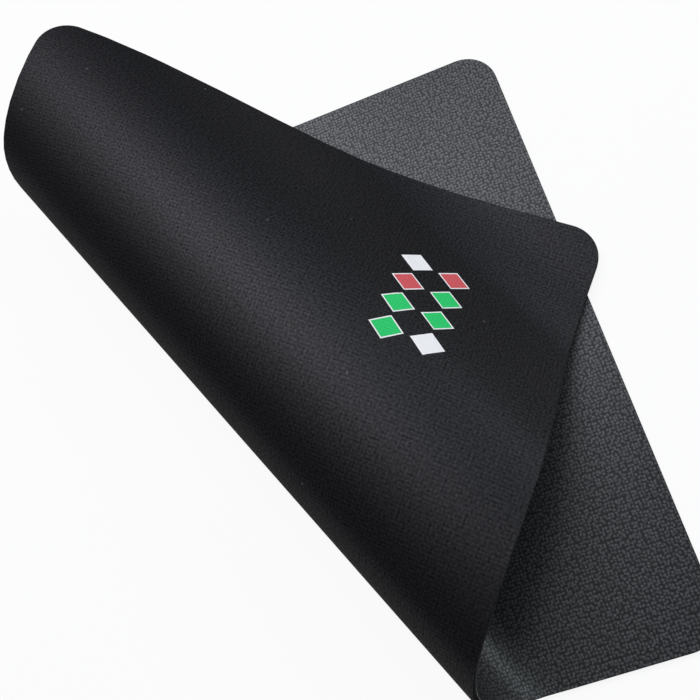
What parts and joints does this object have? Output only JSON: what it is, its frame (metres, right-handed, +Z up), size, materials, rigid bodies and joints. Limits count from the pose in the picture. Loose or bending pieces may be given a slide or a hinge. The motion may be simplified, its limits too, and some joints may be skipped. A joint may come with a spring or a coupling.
{
  "type": "mouse pad",
  "caption": "Rectangular cloth-topped mouse pad with round corners and a thin rubber base, lying cloth side down with one end rolled over onto the rubber.",
  "frame": {"origin": "middle of area of the flat cloth face that lies on the desk", "axes": "+Z up from the desk, +X along the pad's long side from its flat short side towards the roll, +Y along the short side"},
  "size_m": [0.1738, 0.2468, 0.0416],
  "materials": {
    "cloth": "fine black jersey knit, matt with a soft sheen",
    "rubber": "dark grey moulded rubber with a fine non-slip grain"
  },
  "bodies": {
    "base": {"base_cloth": "cloth", "base_rubber": "rubber"},
    "rise_01": {"rise_01_cloth": "cloth", "rise_01_rubber": "rubber"},
    "rise_02": {"rise_02_cloth": "cloth", "rise_02_rubber": "rubber"},
    "rise_03": {"rise_03_cloth": "cloth", "rise_03_rubber": "rubber"},
    "rise_04": {"rise_04_cloth": "cloth", "rise_04_rubber": "rubber"},
    "rise_05": {"rise_05_cloth": "cloth", "rise_05_rubber": "rubber"},
    "rise_06": {"rise_06_cloth": "cloth", "rise_06_rubber": "rubber"},
    "rise_07": {"rise_07_cloth": "cloth", "rise_07_rubber": "rubber"},
    "rise_08": {"rise_08_cloth": "cloth", "rise_08_rubber": "rubber"},
    "crown_01": {"crown_01_cloth": "cloth", "crown_01_rubber": "rubber"},
    "crown_02": {"crown_02_cloth": "cloth", "crown_02_rubber": "rubber"},
    "crown_03": {"crown_03_cloth": "cloth", "crown_03_rubber": "rubber"},
    "crown_04": {"crown_04_cloth": "cloth", "crown_04_rubber": "rubber"},
    "settle_01": {"settle_01_cloth": "cloth", "settle_01_rubber": "rubber"},
    "settle_02": {"settle_02_cloth": "cloth", "settle_02_rubber": "rubber"},
    "settle_03": {"settle_03_cloth": "cloth", "settle_03_rubber": "rubber"}
  },
  "joints": [
    {"name": "rise_01_hinge", "type": "hinge", "parent": "base", "child": "rise_01", "pos_m": [0.04417, 0.01788, 0.001], "axis": [-0.4327, 0.9015, 0], "range_deg": [0, 19.75], "stiffness_Nm_per_rad": 0.027, "springref_deg": 19.75},
    {"name": "rise_02_hinge", "type": "hinge", "parent": "rise_01", "child": "rise_02", "pos_m": [0.04958, 0.02048, 0.00315], "axis": [-0.4327, 0.9015, 0], "range_deg": [0, 19.75], "stiffness_Nm_per_rad": 0.0349, "springref_deg": 19.75},
    {"name": "rise_03_hinge", "type": "hinge", "parent": "rise_02", "child": "rise_03", "pos_m": [0.05402, 0.02261, 0.00721], "axis": [-0.4327, 0.9015, 0], "range_deg": [0, 19.75], "stiffness_Nm_per_rad": 0.041, "springref_deg": 19.75},
    {"name": "rise_04_hinge", "type": "hinge", "parent": "rise_03", "child": "rise_04", "pos_m": [0.05696, 0.02402, 0.01269], "axis": [-0.4327, 0.9015, 0], "range_deg": [0, 19.75], "stiffness_Nm_per_rad": 0.0449, "springref_deg": 19.75},
    {"name": "rise_05_hinge", "type": "hinge", "parent": "rise_04", "child": "rise_05", "pos_m": [0.05805, 0.02454, 0.01895], "axis": [-0.4327, 0.9015, 0], "range_deg": [0, 19.75], "stiffness_Nm_per_rad": 0.0462, "springref_deg": 19.75},
    {"name": "rise_06_hinge", "type": "hinge", "parent": "rise_05", "child": "rise_06", "pos_m": [0.05718, 0.02412, 0.02525], "axis": [-0.4327, 0.9015, 0], "range_deg": [0, 19.75], "stiffness_Nm_per_rad": 0.0452, "springref_deg": 19.75},
    {"name": "rise_07_hinge", "type": "hinge", "parent": "rise_06", "child": "rise_07", "pos_m": [0.05444, 0.02281, 0.03086], "axis": [-0.4327, 0.9015, 0], "range_deg": [0, 19.75], "stiffness_Nm_per_rad": 0.0422, "springref_deg": 19.75},
    {"name": "rise_08_hinge", "type": "hinge", "parent": "rise_07", "child": "rise_08", "pos_m": [0.05015, 0.02075, 0.0351], "axis": [-0.4327, 0.9015, 0], "range_deg": [0, 19.75], "stiffness_Nm_per_rad": 0.0377, "springref_deg": 19.75},
    {"name": "crown_01_hinge", "type": "hinge", "parent": "rise_08", "child": "crown_01", "pos_m": [0.0412, 0.01645, 0.03911], "axis": [-0.4327, 0.9015, 0], "range_deg": [0, 16.25], "stiffness_Nm_per_rad": 0.0357, "springref_deg": 16.25},
    {"name": "crown_02_hinge", "type": "hinge", "parent": "crown_01", "child": "crown_02", "pos_m": [0.02772, 0.00998, 0.04062], "axis": [-0.4327, 0.9015, 0], "range_deg": [0, 16.25], "stiffness_Nm_per_rad": 0.0229, "springref_deg": 16.25},
    {"name": "crown_03_hinge", "type": "hinge", "parent": "crown_02", "child": "crown_03", "pos_m": [0.01439, 0.00359, 0.03788], "axis": [-0.4327, 0.9015, 0], "range_deg": [0, 16.25], "stiffness_Nm_per_rad": 0.0132, "springref_deg": 16.25},
    {"name": "crown_04_hinge", "type": "hinge", "parent": "crown_03", "child": "crown_04", "pos_m": [0.00229, -0.00222, 0.03112], "axis": [-0.4327, 0.9015, 0], "range_deg": [0, 16.25], "stiffness_Nm_per_rad": 0.0069, "springref_deg": 16.25},
    {"name": "settle_01_hinge", "type": "hinge", "parent": "crown_04", "child": "settle_01", "pos_m": [-0.01721, -0.01158, 0.01094], "axis": [0.4327, -0.9015, 0], "range_deg": [0, 14.33]},
    {"name": "settle_02_hinge", "type": "hinge", "parent": "settle_01", "child": "settle_02", "pos_m": [-0.02552, -0.01557, 0.0059], "axis": [0.4327, -0.9015, 0], "range_deg": [0, 14.33]},
    {"name": "settle_03_hinge", "type": "hinge", "parent": "settle_02", "child": "settle_03", "pos_m": [-0.0347, -0.01998, 0.0033], "axis": [0.4327, -0.9015, 0], "range_deg": [0, 14.33]}
  ],
  "couplings": [
    {"joint": "rise_01_hinge", "follows": "crown_04_hinge", "ratio": 1.2154},
    {"joint": "rise_02_hinge", "follows": "crown_04_hinge", "ratio": 1.2154},
    {"joint": "rise_03_hinge", "follows": "crown_04_hinge", "ratio": 1.2154},
    {"joint": "rise_04_hinge", "follows": "crown_04_hinge", "ratio": 1.2154},
    {"joint": "rise_05_hinge", "follows": "crown_04_hinge", "ratio": 1.2154},
    {"joint": "rise_06_hinge", "follows": "crown_04_hinge", "ratio": 1.2154},
    {"joint": "rise_07_hinge", "follows": "crown_04_hinge", "ratio": 1.2154},
    {"joint": "rise_08_hinge", "follows": "crown_04_hinge", "ratio": 1.2154},
    {"joint": "crown_01_hinge", "follows": "crown_04_hinge", "ratio": 1},
    {"joint": "crown_02_hinge", "follows": "crown_04_hinge", "ratio": 1},
    {"joint": "crown_03_hinge", "follows": "crown_04_hinge", "ratio": 1},
    {"joint": "settle_01_hinge", "follows": "crown_04_hinge", "ratio": 0.88205},
    {"joint": "settle_02_hinge", "follows": "crown_04_hinge", "ratio": 0.88205},
    {"joint": "settle_03_hinge", "follows": "crown_04_hinge", "ratio": 0.88205}
  ]
}
